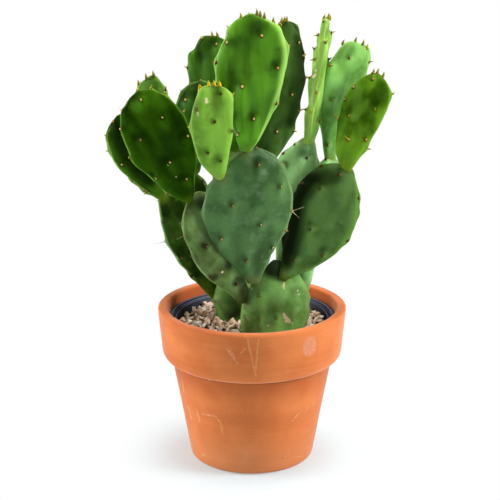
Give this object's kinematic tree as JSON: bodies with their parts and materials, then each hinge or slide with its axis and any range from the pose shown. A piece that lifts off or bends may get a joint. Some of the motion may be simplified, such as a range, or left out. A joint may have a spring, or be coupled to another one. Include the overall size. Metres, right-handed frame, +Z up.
{
  "type": "potted paddle cactus",
  "caption": "Prickly pear cactus of flat oval pads, growing from gravel in a plastic nursery pot that stands inside a terracotta pot with a flat base.",
  "frame": {"origin": "on the ground under the middle of the pot, which is the bottom middle of the whole object to within a few millimetres", "axes": "+Z up, -Y towards the front, +X to the right seen from the front"},
  "size_m": [0.2978, 0.2, 0.4849],
  "materials": {
    "terracotta": "unglazed fired clay, matt, with faint turning lines and pale scuffs",
    "nursery_plastic": "dark satin moulded plastic",
    "soil": "dark crumbly bark and peat potting mix",
    "gravel": "matt porous angular chips",
    "old_pad": "matt grey-green skin with a waxy bloom",
    "dark_pad": "satin dark green skin",
    "brown_pad": "matt brownish grey-green skin",
    "young_pad": "satin mid-green skin",
    "lime_pad": "satin yellow-green young skin"
  },
  "bodies": {
    "root": {"terracotta_pot": "terracotta", "nursery_pot": "nursery_plastic", "potting_soil": "soil", "gravel_mulch": "gravel", "trunk_front": "old_pad", "trunk_back": "old_pad", "pad_front_centre": "old_pad", "pad_front_right": "dark_pad", "pad_front_left": "brown_pad", "pad_back_left": "dark_pad", "pad_back_right": "old_pad", "pad_side_right": "old_pad", "pad_rear_left": "old_pad", "pad_rear_centre": "old_pad", "tip_centre": "young_pad", "tip_front": "lime_pad", "tip_rear_right": "young_pad", "tip_rear_left": "dark_pad", "tip_edgewise": "lime_pad", "tip_right": "young_pad", "tip_far_right": "young_pad", "tip_left": "dark_pad", "tip_far_left": "dark_pad", "tip_left_rear": "young_pad", "tip_left_inner": "dark_pad"}
  },
  "joints": []
}
